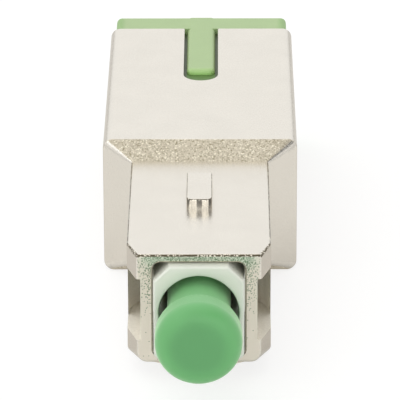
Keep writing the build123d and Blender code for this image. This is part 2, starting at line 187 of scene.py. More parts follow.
class ATTENUATOR_PG_optics(bpy.types.PropertyGroup):
    """Ferrule, split sleeve, fibre and flange."""

    zirconia: colour_property("Zirconia", "Ivory white of the ferrule and split sleeve", "F3F0E6")
    flange: colour_property("Flange", "Nickel plating of the turned flange", "CFC9BC")
    glass: colour_property("Glass fibre", "Doped glass of the attenuating fibre", "E6F0F2")
    zirconia_cloud: length_property("Zirconia clouds", "Width of the faint clouds in the zirconia", 1.5)
    glass_cloud: length_property("Glass clouds", "Width of the faint clouds in the glass", 0.5)
    lay: length_property("Turning marks", "Spacing of the tool marks on the flange", 0.06)


class ATTENUATOR_PG_spring(bpy.types.PropertyGroup):
    """Coil spring behind the ferrule's flange."""

    steel: colour_property("Spring steel", "Drawn stainless steel wire", "B9B7B2")
    wire: length_property("Wire", "Diameter of the wire", 0.5)
    coil: length_property("Coil", "Mean diameter of the coil", 4.0)
    turns: IntProperty(name="Turns", description="Number of turns", min=1, default=4)
    steps: IntProperty(name="Steps", description="Points in each turn of the wire", min=8, default=48)
    streak_size: length_property("Streaks", "Width of the streaks on the wire", 0.15)


class ATTENUATOR_PG_stage(bpy.types.PropertyGroup):
    """Floor, lights and camera."""

    floor: colour_property("Floor", "Pale floor under the attenuator", "FFFFFF")
    floor_size: length_property("Floor size", "Side of the square floor", 1600)
    surround: FloatProperty(
        name="Surround", description="Strength of the white surround", min=0, default=1.0
    )
    lamp: power_property("Lamp", "Power of the soft lamp overhead", 0.46)
    fill_lamp: power_property("Fill lamp", "Power of the low fill lamp", 0.15)
    side_lamp: power_property("Side lamp", "Power of the side lamp", 0.06)
    front_lamp: power_property("Front lamp", "Power of the low lamp in front", 0.05)


GROUPS = {
    "attenuator_shell": ATTENUATOR_PG_shell,
    "attenuator_plastics": ATTENUATOR_PG_plastics,
    "attenuator_optics": ATTENUATOR_PG_optics,
    "attenuator_spring": ATTENUATOR_PG_spring,
    "attenuator_stage": ATTENUATOR_PG_stage,
}


def add_node(tree, kind, values=None, links=None, **settings):
    """Adds a node with its settings, its inputs' values and the sockets linked to its inputs."""
    node = tree.nodes.new(kind)
    for name, value in settings.items():
        setattr(node, name, value)
    for key, value in (values or {}).items():
        node.inputs[key].default_value = value
    for key, socket in (links or {}).items():
        tree.links.new(socket, node.inputs[key])
    return node


def new_material(name, values):
    """A material with one Principled shader; values set the shader's own sockets."""
    material = bpy.data.materials.new(name)
    material.use_nodes = True
    tree = material.node_tree
    tree.nodes.clear()
    shader = add_node(tree, "ShaderNodeBsdfPrincipled", values=values)
    add_node(tree, "ShaderNodeOutputMaterial", links={"Surface": shader.outputs["BSDF"]})
    return material, tree, shader


def rgba(colour):
    return (*colour, 1.0)


def dress(node, material):
    """Gives a CAD node its material."""
    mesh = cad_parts[node].data
    mesh.materials.clear()
    mesh.materials.append(material)


def tint(tree, shader, colour, pattern, darkest):
    """Varies the base colour with a pattern, up to the full colour, and returns its socket."""
    shade = add_node(
        tree, "ShaderNodeMapRange", values={1: NOISE_LOW, 2: NOISE_HIGH, 3: darkest, 4: 1.0},
        links={0: pattern},
    )
    tinted = add_node(
        tree, "ShaderNodeVectorMath", operation="SCALE", values={0: colour},
        links={"Scale": shade.outputs[0]},
    )
    tree.links.new(tinted.outputs[0], shader.inputs["Base Color"])
    return tinted.outputs[0]


def satin_nickel(settings):
    """Bright nickel over a vapour-blasted zinc casting.

    The smooth faces have a soft, even sheen. The faces towards the plug's nose keep the as-cast grain,
    whose facets are drawn with painted glints and painted shade one by one. Painted shade and painted
    reflections also tone the sideways, slanted and downward faces, the plug's upper edges, the key's front
    and the front face over the mouth, and painted light lightens the hook channels. Both grains are drawn
    a little coarser than the real one, which would be finer than a pixel.
    """
    material, tree, shader = new_material("satin nickel on cast zinc", {"Metallic": 1.0})
    place = add_node(tree, "ShaderNodeTexCoord")
    point = place.outputs["Object"]
    position = add_node(tree, "ShaderNodeSeparateXYZ", links={0: point})
    normal = add_node(tree, "ShaderNodeSeparateXYZ", links={0: place.outputs["Normal"]})
    beside = add_node(tree, "ShaderNodeMath", operation="ABSOLUTE", links={0: position.outputs["X"]})
    sideways = add_node(tree, "ShaderNodeMath", operation="ABSOLUTE", links={0: normal.outputs["X"]})

    # As-cast grain on the shoulder's upper and lower slopes
    lean_limit = -0.36
    slope_limit = 0.6
    forward = add_node(
        tree, "ShaderNodeMath", operation="LESS_THAN", values={1: lean_limit},
        links={0: normal.outputs["Y"]},
    )
    level = add_node(tree, "ShaderNodeMath", operation="ABSOLUTE", links={0: normal.outputs["Z"]})
    leaning = add_node(
        tree, "ShaderNodeMath", operation="GREATER_THAN", values={1: slope_limit},
        links={0: level.outputs[0]},
    )
    slope = add_node(
        tree, "ShaderNodeMath", operation="MULTIPLY", links={0: forward.outputs[0], 1: leaning.outputs[0]}
    )

    # A finer grain on the front face, which lies within the plug's first millimetre
    ahead_limit = -0.93
    facing = add_node(
        tree, "ShaderNodeMath", operation="LESS_THAN", values={1: ahead_limit},
        links={0: normal.outputs["Y"]},
    )
    foremost = add_node(
        tree, "ShaderNodeMath", operation="LESS_THAN", values={1: MM}, links={0: position.outputs["Y"]}
    )
    front = add_node(
        tree, "ShaderNodeMath", operation="MULTIPLY", links={0: facing.outputs[0], 1: foremost.outputs[0]}
    )

    # Rough walls in the hook channels, inside the plug's outer skin
    skin = 0.01 * MM
    outside = add_node(
        tree, "ShaderNodeMath", operation="GREATER_THAN", values={1: settings.channel_wall},
        links={0: beside.outputs[0]},
    )
    within = add_node(
        tree, "ShaderNodeMath", operation="LESS_THAN", values={1: settings.plug_half - skin},
        links={0: beside.outputs[0]},
    )
    height = add_node(tree, "ShaderNodeMath", operation="ABSOLUTE", links={0: position.outputs["Z"]})
    between = add_node(
        tree, "ShaderNodeMath", operation="LESS_THAN", values={1: settings.channel_half},
        links={0: height.outputs[0]},
    )
    near = add_node(
        tree, "ShaderNodeMath", operation="LESS_THAN", values={1: settings.channel_end},
        links={0: position.outputs["Y"]},
    )
    hollow = outside
    for limit in (between, near, within):
        hollow = add_node(
            tree, "ShaderNodeMath", operation="MULTIPLY", links={0: hollow.outputs[0], 1: limit.outputs[0]}
        )

    # The grain's facets: a few with painted shade, most of the middle tone, a few with painted glints
    facets = add_node(
        tree, "ShaderNodeTexVoronoi", values={"Scale": 1 / settings.grain_size, "Randomness": 1.0},
        links={"Vector": point},
    )
    facet = add_node(tree, "ShaderNodeSeparateColor", links={0: facets.outputs["Color"]})
    tones = add_node(tree, "ShaderNodeValToRGB", links={0: facet.outputs[0]})
    ramp = tones.color_ramp
    ramp.elements[0].position = 0.0
    ramp.elements[0].color = rgba(settings.grain_shade)
    ramp.elements[1].position = 1.0
    ramp.elements[1].color = rgba(settings.grain_glint)
    for share in (0.35, 0.75):
        ramp.elements.new(share).color = rgba(settings.grain_mid)

    # Painted shade: duller plating on the faces that look sideways, with faint clouds all over
    side_starts, side_full = 0.57, 0.95
    cloud_tone = 0.965
    shaded_side = add_node(
        tree, "ShaderNodeMapRange", values={1: side_starts, 2: side_full}, links={0: sideways.outputs[0]}
    )
    base = add_node(
        tree, "ShaderNodeMix", data_type="RGBA",
        values={6: rgba(settings.nickel), 7: rgba(settings.side_shade)}, links={0: shaded_side.outputs[0]},
    )
    clouds = add_node(
        tree, "ShaderNodeTexNoise", values={"Scale": 1 / settings.cloud_size, "Detail": 2.0},
        links={"Vector": point},
    )
    cloudy = add_node(
        tree, "ShaderNodeMapRange", values={1: NOISE_LOW, 2: NOISE_HIGH, 3: cloud_tone, 4: 1.0},
        links={0: clouds.outputs["Fac"]},
    )

    # Painted shade: the plug's facets that lean forward or down are darkened, as less light reaches them
    slant_starts, slant_full, slant_tone = 0.3, 0.5, 0.95
    slant_shade = add_node(
        tree, "ShaderNodeMapRange", values={1: slant_starts, 2: slant_full, 3: 1.0, 4: slant_tone},
        links={0: sideways.outputs[0]},
    )
    slant_shade = add_node(
        tree, "ShaderNodeMix", data_type="FLOAT", values={2: 1.0},
        links={0: forward.outputs[0], 3: slant_shade.outputs[0]},
    )
    under_starts, under_full, under_tone = -0.3, -0.6, 0.78
    lower = add_node(
        tree, "ShaderNodeMapRange", values={1: under_starts, 2: under_full, 3: 1.0, 4: under_tone},
        links={0: normal.outputs["Z"]},
    )

    # The key's front end is known by its height over the plug, its place and its lean
    key = add_node(
        tree, "ShaderNodeMath", operation="GREATER_THAN", values={1: settings.plug_top},
        links={0: position.outputs["Z"]},
    )
    on_plug = add_node(
        tree, "ShaderNodeMath", operation="LESS_THAN", values={1: settings.plug_length},
        links={0: position.outputs["Y"]},
    )
    # Painted reflection: near its foot the key's painted streaks fade out, as if it mirrored the plug's
    # pale top
    foot_height, foot_share = 0.4 * MM, 0.45
    foot = add_node(
        tree, "ShaderNodeMapRange",
        values={1: settings.plug_top, 2: settings.plug_top + foot_height, 3: foot_share, 4: 1.0},
        links={0: position.outputs["Z"]},
    )
    for limit in (on_plug, forward, foot):
        key = add_node(
            tree, "ShaderNodeMath", operation="MULTIPLY", links={0: key.outputs[0], 1: limit.outputs[0]}
        )

    # Painted reflection: the key's front end is drawn with two broad, bright upright streaks with ragged
    # edges
    streak_grain = (5.0, 5.0, 1.4)
    streak_light, streak_dark = 1.22, 0.28
    soft_inside, soft_outside = 0.04 * MM, 0.06 * MM
    upright = add_node(
        tree, "ShaderNodeVectorMath", operation="MULTIPLY", values={1: streak_grain}, links={0: point}
    )
    streaks = add_node(
        tree, "ShaderNodeTexNoise", values={"Scale": 1 / MM, "Detail": 2.0},
        links={"Vector": upright.outputs[0]},
    )
    ragged = add_node(
        tree, "ShaderNodeMath", operation="MULTIPLY_ADD", values={1: settings.streak_rag},
        links={0: streaks.outputs["Fac"], 2: beside.outputs[0]},
    )
    ragged = add_node(
        tree, "ShaderNodeMath", operation="SUBTRACT",
        values={1: settings.streak_place + settings.streak_rag / 2}, links={0: ragged.outputs[0]},
    )
    ragged = add_node(tree, "ShaderNodeMath", operation="ABSOLUTE", links={0: ragged.outputs[0]})
    streak = add_node(
        tree, "ShaderNodeMapRange",
        values={
            1: settings.streak_half - soft_inside, 2: settings.streak_half + soft_outside,
            3: streak_light, 4: streak_dark,
        },
        links={0: ragged.outputs[0]},
    )
    streak = add_node(
        tree, "ShaderNodeMix", data_type="FLOAT", values={2: 1.0},
        links={0: key.outputs[0], 3: streak.outputs[0]},
    )

    # All of these tones shade the plating together: the random clouds, the painted shade on the slanted and
    # downward facets, and the key's painted streaks
    shade = cloudy
    for tone in (slant_shade, lower, streak):
        shade = add_node(
            tree, "ShaderNodeMath", operation="MULTIPLY", links={0: shade.outputs[0], 1: tone.outputs[0]}
        )
    plated = add_node(
        tree, "ShaderNodeVectorMath", operation="SCALE",
        links={0: base.outputs[2], "Scale": shade.outputs[0]},
    )
    grained = add_node(
        tree, "ShaderNodeMix", data_type="RGBA",
        links={0: slope.outputs[0], 6: plated.outputs[0], 7: tones.outputs["Color"]},
    )

    # Painted shade and highlights: the plug's rounded upper edges are drawn as dark lines with painted
    # glints
    edge_lean, edge_spread = 0.6, 0.3
    glints_over = 0.8
    turning = add_node(
        tree, "ShaderNodeMath", operation="COMPARE", values={1: edge_lean, 2: edge_spread},
        links={0: normal.outputs["Z"]},
    )
    edge = add_node(
        tree, "ShaderNodeMath", operation="MULTIPLY", links={0: turning.outputs[0], 1: on_plug.outputs[0]}
    )
    painted_glint = add_node(
        tree, "ShaderNodeMath", operation="GREATER_THAN", values={1: glints_over},
        links={0: facet.outputs[2]},
    )
    line = add_node(
        tree, "ShaderNodeMix", data_type="RGBA",
        values={6: rgba(settings.edge), 7: rgba(settings.grain_glint)}, links={0: painted_glint.outputs[0]},
    )
    lined = add_node(
        tree, "ShaderNodeMix", data_type="RGBA",
        links={0: edge.outputs[0], 6: grained.outputs[2], 7: line.outputs[2]},
    )

    # Painted reflection: the front face is greener over the mouth, as if the cap shone back, and more
    # speckled there
    mouth_low, mouth_high = 2.4 * MM, 3.5 * MM
    column_inner, column_outer, column_share = 3.0 * MM, 3.8 * MM, 0.25
    specks_low, specks_high = -0.3 * MM, 3.0 * MM
    fewest_specks, most_specks = 0.01, 0.42
    over = add_node(
        tree, "ShaderNodeMapRange", interpolation_type="SMOOTHSTEP", values={1: mouth_low, 2: mouth_high},
        links={0: position.outputs["Z"]},
    )
    inward = add_node(
        tree, "ShaderNodeMapRange", interpolation_type="SMOOTHSTEP",
        values={1: column_inner, 2: column_outer, 3: 1.0, 4: column_share}, links={0: beside.outputs[0]},
    )
    over = add_node(
        tree, "ShaderNodeMath", operation="MULTIPLY", links={0: over.outputs[0], 1: inward.outputs[0]}
    )
    ground = add_node(
        tree, "ShaderNodeMix", data_type="RGBA",
        values={6: rgba(settings.blasted), 7: rgba(settings.mouth_reflection)}, links={0: over.outputs[0]},
    )
    share = add_node(
        tree, "ShaderNodeMapRange",
        values={1: specks_low, 2: specks_high, 3: fewest_specks, 4: most_specks},
        links={0: position.outputs["Z"]},
    )
    share = add_node(
        tree, "ShaderNodeMath", operation="MULTIPLY", links={0: share.outputs[0], 1: inward.outputs[0]}
    )
    pits = add_node(
        tree, "ShaderNodeTexVoronoi", values={"Scale": 1 / settings.front_size, "Randomness": 1.0},
        links={"Vector": point},
    )
    pit = add_node(tree, "ShaderNodeSeparateColor", links={0: pits.outputs["Color"]})
    grit = add_node(
        tree, "ShaderNodeMath", operation="LESS_THAN", links={0: pit.outputs[1], 1: share.outputs[0]}
    )
    speckled = add_node(
        tree, "ShaderNodeMix", data_type="RGBA", blend_type="MULTIPLY", values={7: rgba(settings.speck)},
        links={0: grit.outputs[0], 6: ground.outputs[2]},
    )
    faced = add_node(
        tree, "ShaderNodeMix", data_type="RGBA",
        links={0: front.outputs[0], 6: lined.outputs[2], 7: speckled.outputs[2]},
    )

    # The channels' rough walls show the grain faintly over a pale tone, painted light that lightens the
    # channels
    grain_share = 0.2
    dulled = add_node(
        tree, "ShaderNodeMix", data_type="RGBA", values={0: grain_share, 6: rgba(settings.hollow)},
        links={7: tones.outputs["Color"]},
    )
    colour = add_node(
        tree, "ShaderNodeMix", data_type="RGBA",
        links={0: hollow.outputs[0], 6: faced.outputs[2], 7: dulled.outputs[2]},
    )
    tree.links.new(colour.outputs[2], shader.inputs["Base Color"])

    # Painted light: the rough walls are made pale and mostly non-metallic, so that they scatter light as a
    # dull pale surface does and look lighter
    wall_sheen = 0.15
    metal = add_node(
        tree, "ShaderNodeMapRange", values={3: 1.0, 4: wall_sheen}, links={0: hollow.outputs[0]}
    )
    tree.links.new(metal.outputs[0], shader.inputs["Metallic"])

    # Satin where smooth, rough where grained
    smoother, rougher = 0.03, 0.05
    satin = add_node(
        tree, "ShaderNodeTexNoise", values={"Scale": 1 / settings.satin_size, "Detail": 2.0},
        links={"Vector": point},
    )
    rough = add_node(
        tree, "ShaderNodeMapRange",
        values={
            1: NOISE_LOW, 2: NOISE_HIGH,
            3: settings.roughness - smoother, 4: settings.roughness + rougher,
        },
        links={0: satin.outputs["Fac"]},
    )
    cast = slope
    for grainy in (front, hollow):
        cast = add_node(
            tree, "ShaderNodeMath", operation="MAXIMUM", links={0: cast.outputs[0], 1: grainy.outputs[0]}
        )
    roughness = add_node(
        tree, "ShaderNodeMix", data_type="FLOAT", values={3: settings.cast_roughness},
        links={0: cast.outputs[0], 2: rough.outputs[0]},
    )
    tree.links.new(roughness.outputs[0], shader.inputs["Roughness"])

    # Fine unevenness everywhere, and the facets' relief where the casting is grained
    fine_depth, coarse_depth = 0.01 * MM, 0.03 * MM
    grain_side_limit = 0.62
    fine = add_node(
        tree, "ShaderNodeBump", values={"Strength": 0.12, "Distance": fine_depth},
        links={"Height": satin.outputs["Fac"]},
    )
    narrow = add_node(
        tree, "ShaderNodeMath", operation="LESS_THAN", values={1: grain_side_limit},
        links={0: sideways.outputs[0]},
    )
    uneven = add_node(
        tree, "ShaderNodeMath", operation="MULTIPLY", links={0: forward.outputs[0], 1: narrow.outputs[0]}
    )
    uneven = add_node(
        tree, "ShaderNodeMath", operation="MAXIMUM", links={0: uneven.outputs[0], 1: hollow.outputs[0]}
    )
    relief = add_node(
        tree, "ShaderNodeMath", operation="MULTIPLY", links={0: facet.outputs[1], 1: uneven.outputs[0]}
    )
    coarse = add_node(
        tree, "ShaderNodeBump", values={"Strength": 0.6, "Distance": coarse_depth},
        links={"Height": relief.outputs[0], "Normal": fine.outputs["Normal"]},
    )
    tree.links.new(coarse.outputs["Normal"], shader.inputs["Normal"])
    return material


def moulded_plastic(name, colour, settings, roughness, cloudiness):
    """Moulded plastic: an even colour with faint clouds from the melt, and a soft sheen from the mould.

    The mould's grain is drawn coarser than the real one, so that it shows.
    """
    material, tree, shader = new_material(name, {"IOR": 1.5})
    point = add_node(tree, "ShaderNodeTexCoord").outputs["Object"]
    clouds = add_node(
        tree, "ShaderNodeTexNoise", values={"Scale": 1 / settings.flow_size, "Detail": 3.0},
        links={"Vector": point},
    )
    tinted = tint(tree, shader, colour, clouds.outputs["Fac"], darkest=1.0 - cloudiness)
    spread = 0.04
    grain = add_node(
        tree, "ShaderNodeTexNoise", values={"Scale": 1 / settings.mould_grain, "Detail": 2.0},
        links={"Vector": point},
    )
    rough = add_node(
        tree, "ShaderNodeMapRange",
        values={1: NOISE_LOW, 2: NOISE_HIGH, 3: roughness - spread, 4: roughness + spread},
        links={0: grain.outputs["Fac"]},
    )
    tree.links.new(rough.outputs[0], shader.inputs["Roughness"])
    bump = add_node(
        tree, "ShaderNodeBump", values={"Strength": 0.15, "Distance": 0.01 * MM},
        links={"Height": grain.outputs["Fac"]},
    )
    tree.links.new(bump.outputs["Normal"], shader.inputs["Normal"])
    return material, tree, shader, tinted


def translucent(shader, share, depth):
    """Lets light pass a little way into a plastic."""
    shader.inputs["Subsurface Weight"].default_value = share
    shader.inputs["Subsurface Scale"].default_value = depth
    shader.inputs["Subsurface Radius"].default_value = (1.0, 1.0, 1.0)


class ATTENUATOR_OT_metal_shell(bpy.types.Operator):
    """Plate the die-cast metal shell"""

    bl_idname = "attenuator.metal_shell"
    bl_label = "Metal Shell"

    def execute(self, context):
        dress("metal_shell", satin_nickel(context.scene.attenuator_shell))
        return {"FINISHED"}


class ATTENUATOR_OT_green_port(bpy.types.Operator):
    """Finish the green port insert"""

    bl_idname = "attenuator.green_port"
    bl_label = "Port Insert"

    def execute(self, context):
        settings = context.scene.attenuator_plastics
        material, tree, shader, tinted = moulded_plastic(
            "moulded green PBT", settings.insert, settings, roughness=0.42, cloudiness=0.05
        )
        point = add_node(tree, "ShaderNodeTexCoord").outputs["Object"]
        position = add_node(tree, "ShaderNodeSeparateXYZ", links={0: point})
        beside = add_node(tree, "ShaderNodeMath", operation="ABSOLUTE", links={0: position.outputs["X"]})

        # The floor of the slot round the rib lies in shade, deepest in the gaps beside the rib
        hair = 0.01 * MM
        roof = add_node(
            tree, "ShaderNodeMath", operation="COMPARE", values={1: settings.slot_floor, 2: hair},
            links={0: position.outputs["Z"]},
        )
        under = add_node(
            tree, "ShaderNodeMath", operation="LESS_THAN", values={1: settings.collar_front},
            links={0: position.outputs["Y"]},
        )
        floor = add_node(
            tree, "ShaderNodeMath", operation="MULTIPLY", links={0: roof.outputs[0], 1: under.outputs[0]}
        )
        gap = add_node(
            tree, "ShaderNodeMath", operation="GREATER_THAN", values={1: settings.rib_half},
            links={0: beside.outputs[0]},
        )
        depth = add_node(
            tree, "ShaderNodeMix", data_type="RGBA",
            values={6: rgba(settings.slot_end), 7: rgba(settings.slot_gap)}, links={0: gap.outputs[0]},
        )
        shaded = add_node(
            tree, "ShaderNodeMix", data_type="RGBA", blend_type="MULTIPLY",
            links={0: floor.outputs[0], 6: tinted, 7: depth.outputs[2]},
        )

        # Painted light: the rib's thin, rounded tip is drawn a lighter, purer green, for the light that
        # comes out of it
        tip_full, tip_end = 0.15 * MM, 0.6 * MM
        low_full, low_end = 0.15 * MM, 0.45 * MM
        tip = add_node(
            tree, "ShaderNodeMapRange", interpolation_type="SMOOTHSTEP",
            values={1: settings.rib_front + tip_full, 2: settings.rib_front + tip_end, 3: 1.0, 4: 0.0},
            links={0: position.outputs["Y"]},
        )
        on_rib = add_node(
            tree, "ShaderNodeMath", operation="GREATER_THAN", values={1: settings.slot_floor + hair},
            links={0: position.outputs["Z"]},
        )
        low = add_node(
            tree, "ShaderNodeMapRange",
            values={1: settings.slot_floor + low_full, 2: settings.slot_floor + low_end, 3: 1.0, 4: 0.0},
            links={0: position.outputs["Z"]},
        )
        for limit in (on_rib, low):
            tip = add_node(
                tree, "ShaderNodeMath", operation="MULTIPLY", links={0: tip.outputs[0], 1: limit.outputs[0]}
            )
        tipped = add_node(
            tree, "ShaderNodeMix", data_type="RGBA", values={7: rgba(settings.rib_tip_light)},
            links={0: tip.outputs[0], 6: shaded.outputs[2]},
        )

        # Painted shade: the collar's rounded corners are drawn a deeper green
        corner = add_node(
            tree, "ShaderNodeMapRange", interpolation_type="SMOOTHSTEP",
            values={1: settings.corner_start, 2: settings.corner_full}, links={0: beside.outputs[0]},
        )
        deepened = add_node(
            tree, "ShaderNodeMix", data_type="RGBA", blend_type="MULTIPLY",
            values={7: rgba(settings.corner)}, links={0: corner.outputs[0], 6: tipped.outputs[2]},
        )
        tree.links.new(deepened.outputs[2], shader.inputs["Base Color"])
        dress("port_insert", material)
        return {"FINISHED"}


class ATTENUATOR_OT_white_pieces(bpy.types.Operator):
    """Finish the white plug frame, sleeve holder and latch hooks"""

    bl_idname = "attenuator.white_pieces"
    bl_label = "White Mouldings"

    def execute(self, context):
        settings = context.scene.attenuator_plastics
        material, _, shader, _ = moulded_plastic(
            "moulded white PBT", settings.white, settings, roughness=0.4, cloudiness=0.03
        )
        translucent(shader, share=0.5, depth=1.5 * MM)
        for node in ("plug_frame", "sleeve_holder", "latch_hooks"):
            dress(node, material)
        return {"FINISHED"}


class ATTENUATOR_OT_optics(bpy.types.Operator):
    """Finish the ferrule, split sleeve, flange and fibre"""

    bl_idname = "attenuator.optics"
    bl_label = "Ferrule and Sleeve"

    def execute(self, context):
        settings = context.scene.attenuator_optics
        # Ground and polished zirconia: ivory white and glossy, with faint clouds
        zirconia, tree, shader = new_material("polished zirconia", {"IOR": 2.1})
        place = add_node(tree, "ShaderNodeTexCoord")
        clouds = add_node(
            tree, "ShaderNodeTexNoise", values={"Scale": 1 / settings.zirconia_cloud, "Detail": 2.0},
            links={"Vector": place.outputs["Object"]},
        )
        tint(tree, shader, settings.zirconia, clouds.outputs["Fac"], darkest=0.97)
        smoothest, roughest = 0.12, 0.2
        rough = add_node(
            tree, "ShaderNodeMapRange", values={1: NOISE_LOW, 2: NOISE_HIGH, 3: smoothest, 4: roughest},
            links={0: clouds.outputs["Fac"]},
        )
        tree.links.new(rough.outputs[0], shader.inputs["Roughness"])
        for node in ("ferrule", "split_sleeve"):
            dress(node, zirconia)

        # Turned brass with nickel plating: fine bright and dark rings from the tool, drawn twice as far
        # apart as the real ones so that they show
        flange, tree, shader = new_material(
            "turned nickel-plated brass", {"Metallic": 1.0, "Roughness": 0.25}
        )
        place = add_node(tree, "ShaderNodeTexCoord")
        # A wave texture of scale 1 repeats after a tenth of pi
        bands = math.pi / 10 / (2 * settings.lay)
        rings = add_node(
            tree, "ShaderNodeTexWave", wave_type="BANDS", bands_direction="Y",
            values={"Scale": bands, "Distortion": 0.3, "Detail": 1.0},
            links={"Vector": place.outputs["Object"]},
        )
        valley = 0.9
        shade = add_node(
            tree, "ShaderNodeMapRange", values={3: valley}, links={0: rings.outputs["Fac"]}
        )
        tinted = add_node(
            tree, "ShaderNodeVectorMath", operation="SCALE", values={0: settings.flange},
            links={"Scale": shade.outputs[0]},
        )
        tree.links.new(tinted.outputs[0], shader.inputs["Base Color"])
        bump = add_node(
            tree, "ShaderNodeBump", values={"Strength": 0.2, "Distance": 0.01 * MM},
            links={"Height": rings.outputs["Fac"]},
        )
        tree.links.new(bump.outputs["Normal"], shader.inputs["Normal"])
        dress("ferrule_flange", flange)

        # Doped silica: clear and pale, too thin to show more than a dot
        glass, tree, shader = new_material(
            "doped silica fibre", {"IOR": 1.46, "Roughness": 0.02, "Transmission Weight": 0.6}
        )
        place = add_node(tree, "ShaderNodeTexCoord")
        clouds = add_node(
            tree, "ShaderNodeTexNoise", values={"Scale": 1 / settings.glass_cloud},
            links={"Vector": place.outputs["Object"]},
        )
        tint(tree, shader, settings.glass, clouds.outputs["Fac"], darkest=0.95)
        dress("attenuating_fibre", glass)
        return {"FINISHED"}


def coil_tree(material):
    """Geometry Nodes that wind a coil along +Y from its front end."""
    tree = bpy.data.node_groups.new("coil spring", "GeometryNodeTree")
    sockets = {}
    for kind, names in (("Float", ("Wire", "Coil", "Length", "Front")), ("Int", ("Turns", "Steps"))):
        for name in names:
            socket = tree.interface.new_socket(name, in_out="INPUT", socket_type="NodeSocket" + kind)
            sockets[name] = socket.identifier
    tree.interface.new_socket("Geometry", in_out="OUTPUT", socket_type="NodeSocketGeometry")
    given = add_node(tree, "NodeGroupInput").outputs

    run = add_node(
        tree, "ShaderNodeMath", operation="SUBTRACT", links={0: given["Length"], 1: given["Wire"]}
    )
    radius, half_wire = (
        add_node(
            tree, "ShaderNodeMath", operation="DIVIDE", values={1: 2.0}, links={0: given[name]}
        ).outputs[0]
        for name in ("Coil", "Wire")
    )
    spiral = add_node(
        tree, "GeometryNodeCurveSpiral",
        links={
            "Resolution": given["Steps"], "Rotations": given["Turns"], "Start Radius": radius,
            "End Radius": radius, "Height": run.outputs[0],
        },
    )
    start = add_node(
        tree, "ShaderNodeMath", operation="ADD", links={0: given["Front"], 1: half_wire}
    )
    place = add_node(tree, "ShaderNodeCombineXYZ", links={"Y": start.outputs[0]})
    laid = add_node(
        tree, "GeometryNodeTransform", values={"Rotation": (-math.pi / 2, 0, 0)},
        links={"Geometry": spiral.outputs[0], "Translation": place.outputs[0]},
    )
    sides = 20
    round_wire = add_node(
        tree, "GeometryNodeCurvePrimitiveCircle", values={"Resolution": sides},
        links={"Radius": half_wire},
    )
    wound = add_node(
        tree, "GeometryNodeCurveToMesh", values={"Fill Caps": True},
        links={"Curve": laid.outputs[0], "Profile Curve": round_wire.outputs[0]},
    )
    smooth = add_node(tree, "GeometryNodeSetShadeSmooth", links={"Geometry": wound.outputs[0]})
    real = add_node(tree, "GeometryNodeRealizeInstances", links={"Geometry": smooth.outputs[0]})
    finish = add_node(
        tree, "GeometryNodeSetMaterial", values={"Material": material}, links={"Geometry": real.outputs[0]}
    )
    add_node(tree, "NodeGroupOutput", links={0: finish.outputs[0]})
    return tree, sockets


class ATTENUATOR_OT_ferrule_spring(bpy.types.Operator):
    """Wind the coil spring behind the ferrule's flange"""

    bl_idname = "attenuator.ferrule_spring"
    bl_label = "Ferrule Spring"

    def execute(self, context):
        settings = context.scene.attenuator_spring
        front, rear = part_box("ferrule_spring")
        # Drawn stainless wire: grey, fairly bright, with streaks along the draw
        steel, tree, shader = new_material("drawn stainless spring wire", {"Metallic": 1.0})
        place = add_node(tree, "ShaderNodeTexCoord")
        streaks = add_node(
            tree, "ShaderNodeTexNoise", values={"Scale": 1 / settings.streak_size, "Detail": 3.0},
            links={"Vector": place.outputs["Object"]},
        )
        tint(tree, shader, settings.steel, streaks.outputs["Fac"], darkest=0.85)
        smoothest, roughest = 0.22, 0.34
        rough = add_node(
            tree, "ShaderNodeMapRange", values={1: NOISE_LOW, 2: NOISE_HIGH, 3: smoothest, 4: roughest},
            links={0: streaks.outputs["Fac"]},
        )
        tree.links.new(rough.outputs[0], shader.inputs["Roughness"])

        group, sockets = coil_tree(steel)
        carrier = bpy.data.objects.new("spring carrier", bpy.data.meshes.new("spring carrier"))
        context.scene.collection.objects.link(carrier)
        modifier = carrier.modifiers.new("coil spring", "NODES")
        modifier.node_group = group
        for name, value in {
            "Wire": settings.wire, "Coil": settings.coil, "Length": rear.y - front.y,
            "Front": front.y, "Turns": settings.turns, "Steps": settings.steps,
        }.items():
            modifier[sockets[name]] = value
        context.view_layer.update()
        evaluated = carrier.evaluated_get(context.evaluated_depsgraph_get())
        mesh = bpy.data.meshes.new_from_object(evaluated)
        bpy.data.objects.remove(carrier)
        if len(mesh.vertices) == 0:
            raise RuntimeError("The coil spring has no mesh")
        mesh.name = "coil_spring"
        spring = bpy.data.objects.new("coil_spring", mesh)
        context.scene.collection.objects.link(spring)
        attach(spring, "core")
        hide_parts("ferrule_spring")
        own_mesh(spring)
        return {"FINISHED"}


